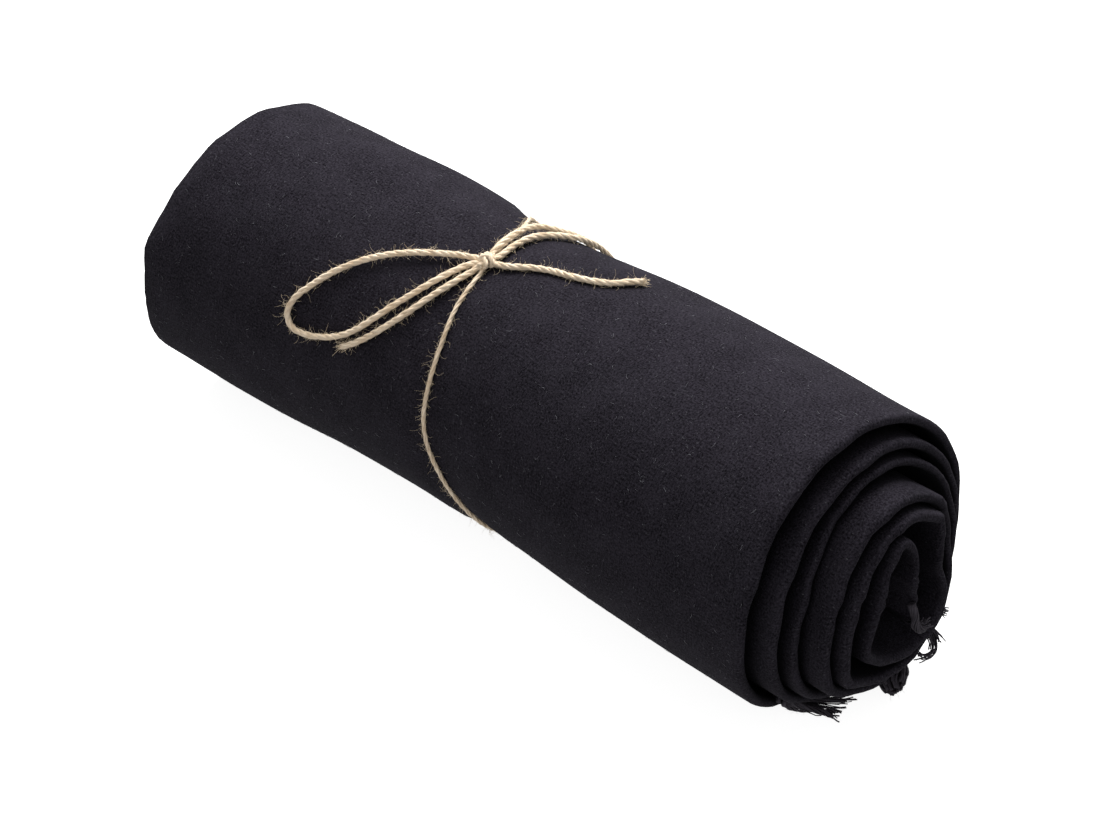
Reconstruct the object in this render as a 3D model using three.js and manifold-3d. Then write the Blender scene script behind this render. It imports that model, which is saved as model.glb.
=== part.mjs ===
// Rolled tablecloth with a fringe, tied with a twine bow.
// Millimetres, +Z up. The roll lies along X, its telescoped end towards +X.
// The cloth is folded lengthwise into a flat band of four layers, and the band is rolled up.

import * as THREE from "three";
import { mergeVertices } from "three/addons/utils/BufferGeometryUtils.js";
import Module from "manifold-3d";

// Roll
const RIM_RADIUS = 65.8;
const FAR_RIM_RADIUS = 63.2;
const SETTLED = 0.9;
const NEAR_RIM_X = 162;
const FAR_RIM_X = -188;
const FREE_END_TURN = -4;
const CORE_END_TURN = 2136;
const CENTRING = 2.25;
const UNDER = -90;
const TURN_DEGREES = 360;
const RADIUS_SPACING = 45;
const QUARTER = 90;

// Section of the band: its rounded lip, its bevelled and notched far edge, and where its faces have corners
const LIP_STEPS = 4;
const PLY_NOTCH = 3;
const EDGE_BEVEL = 0.4;
const FLOOR_STACK = 0.95;
const STATIONS = { far: -100, besideTie: [-22, -9, 0, 12, 60], near: 110 };

// The wound band, a row for each turn from the outermost in. A turn runs under the roll, up its front,
// over its crown and down its back.
// radius: outer face at under, low front, front, high front, crown, high back, back, low back
// reach: folded lip past the near rim, at under, front, crown, back
// thick: the four layers, at under, front, crown, back
// far: reach of the layers' edges past the far rim, at under, front, crown, back
const TURNS = [
  { radius: [65.8, 65.8, 65.8, 65.8, 65.8, 65.8, 65.8, 65.4],
    reach: [-14, 0, -1.5, 0], thick: [4.6, 4.8, 4.4, 3.6],
    far: [0, 5, -3.5, -2], steps: 36 },
  { radius: [59, 58.6, 55.6, 54, 54.8, 57.6, 60.4, 59.4],
    reach: [-2, 8, 4, 3], thick: [3.4, 4.9, 4.6, 3.2],
    far: [1, 6, -2, -1], steps: 36 },
  { radius: [53.8, 53, 44.4, 43, 48, 51, 54.4, 53.6],
    reach: [7, 10.5, 6, 7], thick: [3.6, 4.2, 3.8, 3.2],
    far: [-3, -1, -5, -4], steps: 34 },
  { radius: [48, 45.8, 37.6, 37, 41.4, 41, 40, 45.6],
    reach: [18, 20.5, 19.5, 17.5], thick: [4.2, 4.8, 4.8, 4],
    far: [-8, -9, -10, -9], steps: 32 },
  { radius: [41.6, 38.8, 29.6, 28.6, 34.2, 34.4, 28.4, 38.4],
    reach: [23, 25, 23.5, 23], thick: [4.4, 4.8, 4.6, 4.4],
    far: [-12, -13, -14, -13], steps: 32 },
  { radius: [32.4, 27.4, 18, 18.2, 26.4, 12.6, 10.4, 14.6],
    reach: [26, 27.5, 26.5, 26], thick: [4.8, 4.8, 4.6, 4.6],
    far: [-15, -16, -16, -16], steps: 32 },
  { radius: [29, 30, 30, 30, 30, 30, 30, 30],
    reach: [24, 24, 24, 24], thick: [4.6, 4.6, 4.6, 4.6],
    far: [-16, -16, -16, -16], steps: 32 },
];

// Creased corners of the wound band: where, how far out they push and how far they spread
const CREASES = [
  { turn: 1125, out: 2.2, spread: 9 },
  { turn: 1312, out: 1.8, spread: 8 },
  { turn: 1484, out: 3.2, spread: 9 },
  { turn: 1668, out: 3, spread: 9 },
  { turn: 1848, out: 2.6, spread: 9 },
  { turn: 1980, out: 2, spread: 12 },
];

// Hourglass that the tie pulls into the roll
const WAIST = { left: 3.2, leftReach: 135, right: 4.6, rightReach: 125, pinch: 1.6, pinchReach: 9 };
const SWELLS = [
  { out: 3.2, x: 30, reach: 90, around: 50, spread: 60 },
  { out: 3, x: -98, reach: 46, around: 50, spread: 60 },
  { out: -3, x: -75, reach: 55, around: -140, spread: 40 },
];

// Where the tie's band lies along the roll, for angles around it: back rim 0, crown 90, front 180
const TIE_PATH = [
  { around: -134, x: -1.5 },
  { around: -110, x: -4 },
  { around: -90, x: -11 },
  { around: -60, x: -26 },
  { around: -30, x: -42 },
  { around: 0, x: -56 },
  { around: 27, x: -62 },
  { around: 40, x: -61 },
  { around: 50, x: -57 },
  { around: 61, x: -49.2 },
  { around: 74, x: -41 },
  { around: 91, x: -34.5 },
  { around: 106, x: -30.6 },
  { around: 122, x: -28.2 },
  { around: 138, x: -24.6 },
  { around: 155, x: -22.7 },
  { around: 167, x: -21.8 },
  { around: 178, x: -19.2 },
  { around: 187, x: -15.6 },
  { around: 198, x: -10.5 },
  { around: 210, x: -5 },
  { around: 226, x: -1.5 },
];

// Twine: its band bites into the cloth, its bow is looser and thicker
const BAND_WIDTH = 2.2;
const BOW_WIDTH = 2.8;
const TWINE_SIDES = 8;
const CLEAR = 0.3;

// Knot: its place, its half sizes, and the slanted ridges of its turns
const KNOT = { x: -32, around: 100, halfLength: 4.6, halfWidth: 3.8, halfHeight: 3, ridge: 0.5, ridges: 3 };
const KNOT_RINGS = 9;
const KNOT_SIDES = 12;
const KNOT_END_SHARE = 0.35;

// Twine routes: place along the roll, angle around it, height of the twine over the cloth
const BAND_ROUTE = [
  [-34.2, 94.8, 0], [-37.2, 83, 0], [-41, 74, 0], [-48.8, 61.5, 0], [-56.6, 50.5, 0], [-61, 40, 0],
  [-62, 27, 0], [-59, 11, 0], [-53, -6, 0], [-45.5, -23, 0], [-37, -40, 0], [-28, -56, 0],
  [-20, -72, 0], [-12.5, -88, 0], [-6.5, -104, 0], [-3, -120, 0], [-1.8, -134, 0], [-4, -147, 0],
  [-8.8, -159, 0], [-14, -171, 0], [-18.5, -181, 0], [-21.2, -191, 0], [-22.2, -202, 0],
  [-23.2, -213, 0], [-25, -224, 0], [-27.6, -235, 0], [-29.4, -246, 0], [-30.6, -254.6, 0],
];
const LEFT_LOOP_ROUTE = [
  [-37.2, 101.6, 1], [-44.4, 105.4, 0.8], [-54.3, 109.9, 0.6], [-65.9, 116, 0.5], [-76.5, 123.4, 0.5],
  [-86.4, 132.4, 0.5], [-95, 142.4, 0.5], [-100.6, 149.9, 0.5], [-101.8, 155.9, 0.5], [-98, 160, 0.4],
  [-90.5, 160.2, 0.3], [-80.3, 157.6, 0.3], [-71.4, 153.6, 0.3], [-64.8, 148.6, 0.3],
  [-58.6, 141.6, 0.3], [-52.8, 133.8, 0.3], [-47.3, 126, 0.3], [-42.9, 118.4, 0.3], [-39.6, 111.6, 0.3],
  [-37, 105.4, 0.3],
];
const LEFT_TAIL_ROUTE = [
  [-69.2, 157.4, 0.2], [-62.6, 153, 0.2], [-55.9, 147, 0.2], [-49.4, 139.6, 0.2], [-43.8, 131.8, 0.2],
  [-39.4, 123.4, 0.2], [-36.2, 115.2, 0.2], [-33.8, 107.2, 0.2],
];
const RIGHT_LOOP_ROUTE = [
  [-33.2, 94.4, 2.6], [-34.4, 88, 3.2], [-35.6, 80, 3.2], [-36.4, 73, 2.8], [-34.8, 67.2, 2],
  [-32.2, 62, 1.2], [-30.9, 55.5, 0.5], [-31, 48, 0.3], [-32, 40, 0.3], [-33, 32, 0.3],
  [-32.2, 25.6, 0.3], [-29.2, 22.8, 0.3], [-26.4, 26, 0.3], [-25.2, 34, 0.3], [-24.8, 44, 0.3],
  [-25, 54, 0.3], [-26.4, 62, 0.3], [-29, 69.5, 0.5], [-30.8, 77, 0.8], [-31, 86, 0.8],
  [-30.2, 94.5, 0.8],
];
const RIGHT_TAIL_ROUTE = [
  [-26.8, 98.8, 0.6], [-20.8, 97.2, 0.3], [-13.6, 93.6, 0.2], [-5.6, 90.6, 0.2], [6, 88.2, 0.2],
  [14.6, 85.8, 0.2], [20.8, 82.6, 0.2], [24.4, 77.8, 0.2], [27.4, 73, 0.2],
];

// Fringe that shows at the near end, a row for each lock or tassel
// around: where its root lies; forward, swing, drop: how far its tip reaches along X, Y and down
const FRINGE_STRIP = { depth: 12, thick: 0.9, inset: 0.9, step: 6 };
const FRONT_STRIP = { from: -138, to: -112, firstTurn: 0, inside: 1.1 };
const BACK_STRIP = { from: -80, to: -38, firstTurn: 360, inside: 0.9 };
const LOCK_SIDES = 4;
const LOCK_STEPS = 5;
const LOCK_ROOT = { radius: 0.5, depth: 2 };
const LOCK_TAPER = 0.5;
const LOCK_BEND = { forward: 1.6, swing: 1.8, drop: 1.7, heading: 0.4 };
const TASSEL = { neckRadius: 0.9, neckEnd: 0.4, roundness: 0.7 };
const FRONT_LOCKS = [
  { around: -134, forward: 14, swing: 24, drop: 18, thick: 2 },
  { around: -131, forward: 10, swing: 20, drop: 17, thick: 1.6 },
  { around: -127, forward: 15, swing: 19, drop: 14, thick: 2 },
  { around: -123, forward: 17, swing: 13, drop: 12, thick: 1.6 },
  { around: -119, forward: 12, swing: 15, drop: 10, thick: 1.8 },
  { around: -115, forward: 14, swing: 9, drop: 8, thick: 1.4 },
];
const BACK_LOCKS = [
  { around: -75, forward: 24, swing: 1, drop: 4, thick: 7, tassel: true },
  { around: -60, forward: 14, swing: 6, drop: 9, thick: 1.6 },
  { around: -57, forward: 15, swing: 9, drop: 10, thick: 1.6 },
  { around: -54, forward: 13, swing: 11, drop: 8, thick: 1.4 },
  { around: -46, forward: 12, swing: 5, drop: 3, thick: 1.4 },
  { around: -43, forward: 13, swing: 7, drop: 5, thick: 1.2 },
];

const cloth = new THREE.MeshStandardMaterial({ color: 0x1d1b21, roughness: 0.95, metalness: 0 });
const twine = new THREE.MeshStandardMaterial({ color: 0xd9bf8c, roughness: 0.9, metalness: 0 });

const radians = THREE.MathUtils.degToRad;
const clamp = THREE.MathUtils.clamp;
const smooth = (t) => THREE.MathUtils.smoothstep(t, 0, 1);

// Value of a smooth curve through evenly spaced numbers
function alongCurve(values, position) {
  const last = values.length - 1;
  const index = clamp(Math.floor(position), 0, last - 1);
  const t = clamp(position - index, 0, 1);
  const at = (i) => values[clamp(i, 0, last)];
  const startSlope = (at(index + 1) - at(index - 1)) / 2;
  const endSlope = (at(index + 2) - at(index)) / 2;
  const rise = at(index + 1) - at(index);
  const square = 3 * rise - 2 * startSlope - endSlope;
  const cube = startSlope + endSlope - 2 * rise;
  return at(index) + t * (startSlope + t * (square + t * cube));
}

const RADII = TURNS.flatMap((row) => row.radius);
const REACHES = TURNS.flatMap((row) => row.reach);
const THICKNESSES = TURNS.flatMap((row) => row.thick);
const FARS = TURNS.flatMap((row) => row.far);

const bandThickness = (turn) => alongCurve(THICKNESSES, turn / QUARTER);
const nearReach = (turn) => NEAR_RIM_X + alongCurve(REACHES, turn / QUARTER);
const farReach = (turn) => FAR_RIM_X - alongCurve(FARS, turn / QUARTER);
const aroundOf = (turn) => UNDER - turn;

function bandRadius(turn) {
  let radius = alongCurve(RADII, turn / RADIUS_SPACING);
  for (const crease of CREASES) {
    radius += crease.out * Math.exp(-Math.abs(turn - crease.turn) / crease.spread);
  }
  return radius;
}

// Place of the tie along the roll at an angle around it
function tieX(around) {
  const start = TIE_PATH[0].around;
  const turned = THREE.MathUtils.euclideanModulo(around - start, TURN_DEGREES) + start;
  const next = Math.max(TIE_PATH.findIndex((point) => point.around > turned), 1);
  const from = TIE_PATH[next - 1];
  const to = TIE_PATH[next];
  return THREE.MathUtils.mapLinear(turned, from.around, to.around, from.x, to.x);
}

// One at the middle of a bell curve, falling to nothing past its reach
const bell = (distance, reach) => Math.exp(-((distance / reach) ** 2));

// Soft rises and dips of the roll's side
function swelling(x, around) {
  let height = 0;
  for (const swell of SWELLS) {
    const apart = THREE.MathUtils.euclideanModulo(around - swell.around + 180, TURN_DEGREES) - 180;
    height += swell.out * bell(x - swell.x, swell.reach) * bell(apart, swell.spread);
  }
  return height;
}

// How far the tie draws the outer face in
function drawIn(x, around) {
  const past = x - tieX(around);
  const side = past < 0 ? WAIST.left : WAIST.right;
  const sideReach = past < 0 ? WAIST.leftReach : WAIST.rightReach;
  const slope = side * (1 - smooth(Math.abs(past) / sideReach));
  const step = past < 0 ? WAIST.right - WAIST.left : 0;
  return slope + (step + WAIST.pinch) * bell(past, WAIST.pinchReach) - swelling(x, around);
}

function rimRadius(x) {
  const share = (x - FAR_RIM_X) / (NEAR_RIM_X - FAR_RIM_X);
  return THREE.MathUtils.lerp(FAR_RIM_RADIUS, RIM_RADIUS, clamp(share, 0, 1));
}

// A point of the roll, at a radius that the tie draws in, above the surface that the roll lies on
function rollPoint(x, around, radius, floor = 0) {
  const rim = rimRadius(x);
  const drawn = (rim - drawIn(x, around)) * radius / RIM_RADIUS;
  const y = drawn * Math.cos(radians(around));
  const z = rim - SETTLED + drawn * Math.sin(radians(around));
  return new THREE.Vector3(x, y, Math.max(z, floor));
}

// Closed mesh from equal rings of points, open strips between them and a flat cap at each end
function loft(rings) {
  const size = rings[0].length;
  const positions = rings.flat().flatMap((point) => point.toArray());
  const index = [];
  for (let ring = 0; ring < rings.length - 1; ring += 1) {
    for (let i = 0; i < size; i += 1) {
      const here = ring * size + i;
      const beside = ring * size + (i + 1) % size;
      index.push(here, beside, here + size);
      index.push(beside, beside + size, here + size);
    }
  }
  const geometry = new THREE.BufferGeometry();
  for (const [ring, turned] of [[0, true], [rings.length - 1, false]]) {
    for (const [a, b, c] of capFaces(rings[ring])) {
      const corners = [a, b, c].map((corner) => ring * size + corner);
      index.push(...(turned ? corners.reverse() : corners));
    }
  }
  geometry.setAttribute("position", new THREE.Float32BufferAttribute(positions, 3));
  geometry.setIndex(index);
  geometry.computeVertexNormals();
  return geometry;
}

// Triangles that fill a ring, seen flat along its normal
function capFaces(ring) {
  const normal = new THREE.Vector3();
  ring.forEach((point, i) => {
    const next = ring[(i + 1) % ring.length];
    normal.x += (point.y - next.y) * (point.z + next.z);
    normal.y += (point.z - next.z) * (point.x + next.x);
    normal.z += (point.x - next.x) * (point.y + next.y);
  });
  const turn = new THREE.Quaternion().setFromUnitVectors(normal.normalize(), new THREE.Vector3(0, 0, 1));
  const flat = ring.map((point) => point.clone().applyQuaternion(turn));
  return THREE.ShapeUtils.triangulateShape(flat.map((point) => new THREE.Vector2(point.x, point.y)), []);
}

function named(name, geometry, material) {
  const mesh = new THREE.Mesh(geometry, material);
  mesh.name = name;
  return mesh;
}

// Layers of the outer turn stay above each other where the roll is flat underneath
const floorOf = (depth) => depth * FLOOR_STACK;

// Section of the band at one place of its winding, around its edge
function bandSection(turn) {
  const around = aroundOf(turn);
  const outer = bandRadius(turn);
  const thick = bandThickness(turn);
  const tie = tieX(around);
  const near = nearReach(turn);
  const far = farReach(turn);
  const stations = [STATIONS.far, ...STATIONS.besideTie.map((past) => tie + past), STATIONS.near];
  const section = [rollPoint(far, around, outer - EDGE_BEVEL)];
  for (const x of stations) {
    section.push(rollPoint(x, around, outer));
  }
  const half = thick / 2;
  for (let step = 0; step <= LIP_STEPS; step += 1) {
    const angle = Math.PI * step / LIP_STEPS;
    const depth = half * (1 - Math.cos(angle));
    section.push(rollPoint(near - half + half * Math.sin(angle), around, outer - depth, floorOf(depth)));
  }
  for (const x of stations.reverse()) {
    section.push(rollPoint(x, around, outer - thick, floorOf(thick)));
  }
  section.push(rollPoint(far, around, outer - thick + EDGE_BEVEL, floorOf(thick - EDGE_BEVEL)));
  section.push(rollPoint(far + PLY_NOTCH, around, outer - half, floorOf(half)));
  return section;
}

function turnsOfBand() {
  const turns = [];
  let turn = FREE_END_TURN;
  while (turn < CORE_END_TURN) {
    turns.push(turn);
    const row = TURNS[clamp(Math.floor(turn / TURN_DEGREES), 0, TURNS.length - 1)];
    turn += TURN_DEGREES / row.steps;
  }
  turns.push(CORE_END_TURN);
  return turns;
}

const makeRoll = () => named("cloth_roll", loft(turnsOfBand().map(bandSection)), cloth);

// Circle of points across a direction
function ringAcross(centre, direction, radius, sides) {
  const side = new THREE.Vector3(0, 0, 1).cross(direction).normalize();
  const up = direction.clone().cross(side);
  return Array.from({ length: sides }, (_, i) => {
    const angle = 2 * Math.PI * i / sides;
    return centre.clone()
      .addScaledVector(side, radius * Math.cos(angle))
      .addScaledVector(up, radius * Math.sin(angle));
  });
}

const wasm = await Module();
wasm.setup();

function solidOf(geometry) {
  const bare = new THREE.BufferGeometry();
  bare.setAttribute("position", geometry.getAttribute("position"));
  bare.setIndex(geometry.getIndex());
  const merged = mergeVertices(bare, 1e-4);
  return new wasm.Manifold(new wasm.Mesh({
    numProp: 3,
    vertProperties: new Float32Array(merged.getAttribute("position").array),
    triVerts: new Uint32Array(merged.getIndex().array),
  }));
}

function geometryOf(solid) {
  const mesh = solid.getMesh();
  const geometry = new THREE.BufferGeometry();
  geometry.setAttribute("position", new THREE.BufferAttribute(new Float32Array(mesh.vertProperties), 3));
  geometry.setIndex(new THREE.BufferAttribute(new Uint32Array(mesh.triVerts), 1));
  geometry.computeVertexNormals();
  return geometry;
}

// Middle of the gap between two wraps, where a fringed edge lies
function fringeRadius(strip, around) {
  const turn = strip.firstTurn + UNDER - around;
  return bandRadius(turn) - bandThickness(turn) - strip.inside;
}

const fringeEdge = (strip, around) => nearReach(strip.firstTurn + UNDER - around) - FRINGE_STRIP.inset;

// Strip of the fringed edge, between two wraps just inside their lips
function fringeStrip(strip) {
  const rings = [];
  const half = FRINGE_STRIP.thick / 2;
  for (let around = strip.from; around <= strip.to; around += FRINGE_STRIP.step) {
    const middle = fringeRadius(strip, around);
    const near = fringeEdge(strip, around);
    rings.push([
      rollPoint(near - FRINGE_STRIP.depth, around, middle - half),
      rollPoint(near, around, middle - half),
      rollPoint(near, around, middle + half),
      rollPoint(near - FRINGE_STRIP.depth, around, middle + half),
    ]);
  }
  return loft(rings);
}

// A lock tapers to its tip; a tassel has a neck and swells past it
function lockRadius(row, t) {
  const full = row.thick / 2;
  if (!row.tassel) {
    return full * (1 - LOCK_TAPER * t);
  }
  const pastNeck = clamp((t - TASSEL.neckEnd) / (1 - TASSEL.neckEnd) * 1.2, 0, 1);
  return TASSEL.neckRadius + (full - TASSEL.neckRadius) * Math.sin(Math.PI * pastNeck ** TASSEL.roundness);
}

// One lock: out along X from the strip, then down, never lower than the surface under the roll
function fringeLock(row, strip) {
  const edge = rollPoint(fringeEdge(strip, row.around), row.around, fringeRadius(strip, row.around));
  const rings = [];
  for (let step = 0; step <= LOCK_STEPS; step += 1) {
    const t = step / LOCK_STEPS;
    const radius = step === 0 ? LOCK_ROOT.radius : lockRadius(row, t);
    const back = step === 0 ? LOCK_ROOT.depth : 0;
    const centre = new THREE.Vector3(
      edge.x - back + row.forward * (1 - (1 - t) ** LOCK_BEND.forward),
      edge.y + row.swing * t ** LOCK_BEND.swing,
      Math.max(edge.z - row.drop * t ** LOCK_BEND.drop, radius),
    );
    const heading = new THREE.Vector3(1, LOCK_BEND.heading * t, 0).normalize();
    rings.push(ringAcross(centre, heading, radius, LOCK_SIDES));
  }
  return loft(rings);
}

function makeFringe(name, locks, strip) {
  let solid = solidOf(fringeStrip(strip));
  for (const row of locks) {
    solid = solid.add(solidOf(fringeLock(row, strip)));
  }
  return named(name, geometryOf(solid), cloth);
}

// Place on the cloth, with the twine's middle a given height over it
function twinePoint([x, around, lift], width) {
  const surface = rollPoint(x, around, RIM_RADIUS);
  const axis = new THREE.Vector3(x, 0, rimRadius(x) - SETTLED);
  const out = surface.clone().sub(axis).setX(0).normalize();
  return surface.addScaledVector(out, width / 2 + CLEAR + lift);
}

function makeTwine(name, route, width, steps) {
  const points = route.map((point) => twinePoint(point, width));
  const path = new THREE.CatmullRomCurve3(points, false, "centripetal");
  const corners = Array.from({ length: TWINE_SIDES }, (_, i) => {
    const angle = 2 * Math.PI * i / TWINE_SIDES;
    return new THREE.Vector2(width / 2 * Math.cos(angle), width / 2 * Math.sin(angle));
  });
  const section = new THREE.Shape(corners);
  const geometry = new THREE.ExtrudeGeometry(section, { steps, bevelEnabled: false, extrudePath: path });
  return named(name, geometry, twine);
}

// Knot: a flattened lump with the slanted ridges of its turns
function makeKnot() {
  const rings = [];
  for (let ring = 0; ring <= KNOT_RINGS; ring += 1) {
    const share = (ring + KNOT_END_SHARE) / (KNOT_RINGS + 2 * KNOT_END_SHARE);
    const along = -Math.cos(Math.PI * share);
    const girth = Math.sqrt(1 - along * along);
    rings.push(Array.from({ length: KNOT_SIDES }, (_, i) => {
      const angle = 2 * Math.PI * i / KNOT_SIDES;
      const ridge = KNOT.ridge * girth * Math.cos(KNOT.ridges * (Math.PI * along + angle / 2));
      return new THREE.Vector3(
        KNOT.halfLength * along,
        (KNOT.halfWidth * girth + ridge) * Math.cos(angle),
        (KNOT.halfHeight * girth + ridge) * Math.sin(angle),
      );
    }));
  }
  const mesh = named("tie_knot", loft(rings), twine);
  mesh.position.copy(twinePoint([KNOT.x, KNOT.around, KNOT.ridge], 2 * KNOT.halfHeight));
  mesh.rotation.x = radians(KNOT.around - QUARTER);
  return mesh;
}

const group = new THREE.Group();
group.add(makeRoll());
group.add(makeFringe("fringe_front", FRONT_LOCKS, FRONT_STRIP));
group.add(makeFringe("fringe_back", BACK_LOCKS, BACK_STRIP));
group.add(makeTwine("tie_band", BAND_ROUTE, BAND_WIDTH, 60));
group.add(makeTwine("bow_loop_left", LEFT_LOOP_ROUTE, BOW_WIDTH, 30));
group.add(makeTwine("bow_loop_right", RIGHT_LOOP_ROUTE, BOW_WIDTH, 26));
group.add(makeTwine("bow_tail_left", LEFT_TAIL_ROUTE, BOW_WIDTH, 12));
group.add(makeTwine("bow_tail_right", RIGHT_TAIL_ROUTE, BOW_WIDTH, 12));
group.add(makeKnot());

// The roll's middle comes over the row's origin
for (const mesh of group.children) {
  mesh.position.x += CENTRING;
}

export default group;
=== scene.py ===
"""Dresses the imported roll: a soft black woven cloth with a fringe, wound up and tied with a jute bow.

The roll's tables are those of the part's source. The fringe, the right loop's tip and the band's width
are the scene's own. Tables are in millimetres, and the meshes are in metres.
"""

import math

import bpy
import numpy as np
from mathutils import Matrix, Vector


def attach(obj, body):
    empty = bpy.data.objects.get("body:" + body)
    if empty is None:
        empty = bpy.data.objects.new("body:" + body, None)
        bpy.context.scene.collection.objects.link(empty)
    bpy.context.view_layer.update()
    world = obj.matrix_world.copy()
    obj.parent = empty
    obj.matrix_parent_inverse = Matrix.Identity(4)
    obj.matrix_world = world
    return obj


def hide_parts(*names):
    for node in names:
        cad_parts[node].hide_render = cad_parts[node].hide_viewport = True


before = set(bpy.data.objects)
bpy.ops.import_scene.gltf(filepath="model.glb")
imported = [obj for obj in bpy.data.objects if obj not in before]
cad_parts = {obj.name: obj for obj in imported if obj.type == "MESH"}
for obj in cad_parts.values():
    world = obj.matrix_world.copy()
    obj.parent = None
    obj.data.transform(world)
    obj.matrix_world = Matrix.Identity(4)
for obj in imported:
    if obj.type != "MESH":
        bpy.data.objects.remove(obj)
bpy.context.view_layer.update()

MM = 0.001
CENTRING = 2.25
UV_LAYER = "cloth"

# Camera: direction and distance from the point it looks at
CAMERA = {"azimuth": 44.788, "elevation": 35.462, "distance": 1800.0, "target": (-6.226, 0.0, 56.588)}
LENS = 141.47
SENSOR_WIDTH = 36.0

# Roll
RIM_RADIUS = 65.8
FAR_RIM_RADIUS = 63.2
SETTLED = 0.9
NEAR_RIM_X = 162.0
FAR_RIM_X = -188.0
FREE_END_TURN = -4.0
CORE_END_TURN = 2136.0
UNDER = -90.0
FLOOR_STACK = 0.95

# The wound band, a row for each turn from the outermost in
# radius: outer face at under, low front, front, high front, crown, high back, back, low back
# reach, thick, far: lip past the near rim, thickness, edges past the far rim, at under, front, crown, back
TURNS = [
    {"radius": [65.8, 65.8, 65.8, 65.8, 65.8, 65.8, 65.8, 65.4],
     "reach": [-14, 0, -1.5, 0], "thick": [4.6, 4.8, 4.4, 3.6], "far": [0, 5, -3.5, -2]},
    {"radius": [59, 58.6, 55.6, 54, 54.8, 57.6, 60.4, 59.4],
     "reach": [-2, 8, 4, 3], "thick": [3.4, 4.9, 4.6, 3.2], "far": [1, 6, -2, -1]},
    {"radius": [53.8, 53, 44.4, 43, 48, 51, 54.4, 53.6],
     "reach": [7, 10.5, 6, 7], "thick": [3.6, 4.2, 3.8, 3.2], "far": [-3, -1, -5, -4]},
    {"radius": [48, 45.8, 37.6, 37, 41.4, 41, 40, 45.6],
     "reach": [18, 20.5, 19.5, 17.5], "thick": [4.2, 4.8, 4.8, 4], "far": [-8, -9, -10, -9]},
    {"radius": [41.6, 38.8, 29.6, 28.6, 34.2, 34.4, 28.4, 38.4],
     "reach": [23, 25, 23.5, 23], "thick": [4.4, 4.8, 4.6, 4.4], "far": [-12, -13, -14, -13]},
    {"radius": [32.4, 27.4, 18, 18.2, 26.4, 12.6, 10.4, 14.6],
     "reach": [26, 27.5, 26.5, 26], "thick": [4.8, 4.8, 4.6, 4.6], "far": [-15, -16, -16, -16]},
    {"radius": [29, 30, 30, 30, 30, 30, 30, 30],
     "reach": [24, 24, 24, 24], "thick": [4.6, 4.6, 4.6, 4.6], "far": [-16, -16, -16, -16]},
]

# Creased corners of the wound band: where, how far out they push and how far they spread
CREASES = [
    {"turn": 1125, "out": 2.2, "spread": 9},
    {"turn": 1312, "out": 1.8, "spread": 8},
    {"turn": 1484, "out": 3.2, "spread": 9},
    {"turn": 1668, "out": 3.0, "spread": 9},
    {"turn": 1848, "out": 2.6, "spread": 9},
    {"turn": 1980, "out": 2.0, "spread": 12},
]

# Hourglass that the tie pulls into the roll, and soft rises and dips of its side
WAIST = {"left": 3.2, "left_reach": 135, "right": 4.6, "right_reach": 125, "pinch": 1.6, "pinch_reach": 9}
SWELLS = [
    {"out": 3.2, "x": 30, "reach": 90, "around": 50, "spread": 60},
    {"out": 3.0, "x": -98, "reach": 46, "around": 50, "spread": 60},
    {"out": -3.0, "x": -75, "reach": 55, "around": -140, "spread": 40},
]

# Where the tie's band lies along the roll, for angles around it: back rim 0, crown 90, front 180
TIE_AROUND = [-134, -110, -90, -60, -30, 0, 27, 40, 50, 61, 74, 91, 106, 122, 138, 155, 167, 178, 187,
              198, 210, 226]
TIE_X = [-1.5, -4, -11, -26, -42, -56, -62, -61, -57, -49.2, -41, -34.5, -30.6, -28.2, -24.6, -22.7,
         -21.8, -19.2, -15.6, -10.5, -5, -1.5]

# Twine: its band bites into the cloth, its bow is looser and thicker
BAND_WIDTH = 1.9
BOW_WIDTH = 2.8
CLEAR = 0.3
KNOT = {"x": -32.0, "around": 100.0, "half_length": 4.6, "half_width": 3.8, "half_height": 3.0, "ridge": 0.5}

# Twine routes: place along the roll, angle around it, height of the twine over the cloth
BAND_ROUTE = [
    (-34.2, 94.8, 0), (-37.2, 83, 0), (-41, 74, 0), (-48.8, 61.5, 0), (-56.6, 50.5, 0), (-61, 40, 0),
    (-62, 27, 0), (-59, 11, 0), (-53, -6, 0), (-45.5, -23, 0), (-37, -40, 0), (-28, -56, 0),
    (-20, -72, 0), (-12.5, -88, 0), (-6.5, -104, 0), (-3, -120, 0), (-1.8, -134, 0), (-4, -147, 0),
    (-8.8, -159, 0), (-14, -171, 0), (-18.5, -181, 0), (-21.2, -191, 0), (-22.2, -202, 0),
    (-23.2, -213, 0), (-25, -224, 0), (-27.6, -235, 0), (-29.4, -246, 0), (-30.6, -254.6, 0),
]
LEFT_LOOP_ROUTE = [
    (-37.2, 101.6, 1), (-44.4, 105.4, 0.8), (-54.3, 109.9, 0.6), (-65.9, 116, 0.5), (-76.5, 123.4, 0.5),
    (-86.4, 132.4, 0.5), (-95, 142.4, 0.5), (-100.6, 149.9, 0.5), (-101.8, 155.9, 0.5), (-98, 160, 0.4),
    (-90.5, 160.2, 0.3), (-80.3, 157.6, 0.3), (-71.4, 153.6, 0.3), (-64.8, 148.6, 0.3),
    (-58.6, 141.6, 0.3), (-52.8, 133.8, 0.3), (-47.3, 126, 0.3), (-42.9, 118.4, 0.3), (-39.6, 111.6, 0.3),
    (-37, 105.4, 0.3),
]
LEFT_TAIL_ROUTE = [
    (-69.2, 157.4, 0.2), (-62.6, 153, 0.2), (-55.9, 147, 0.2), (-49.4, 139.6, 0.2), (-43.8, 131.8, 0.2),
    (-39.4, 123.4, 0.2), (-36.2, 115.2, 0.2), (-33.8, 107.2, 0.2),
]
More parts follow.
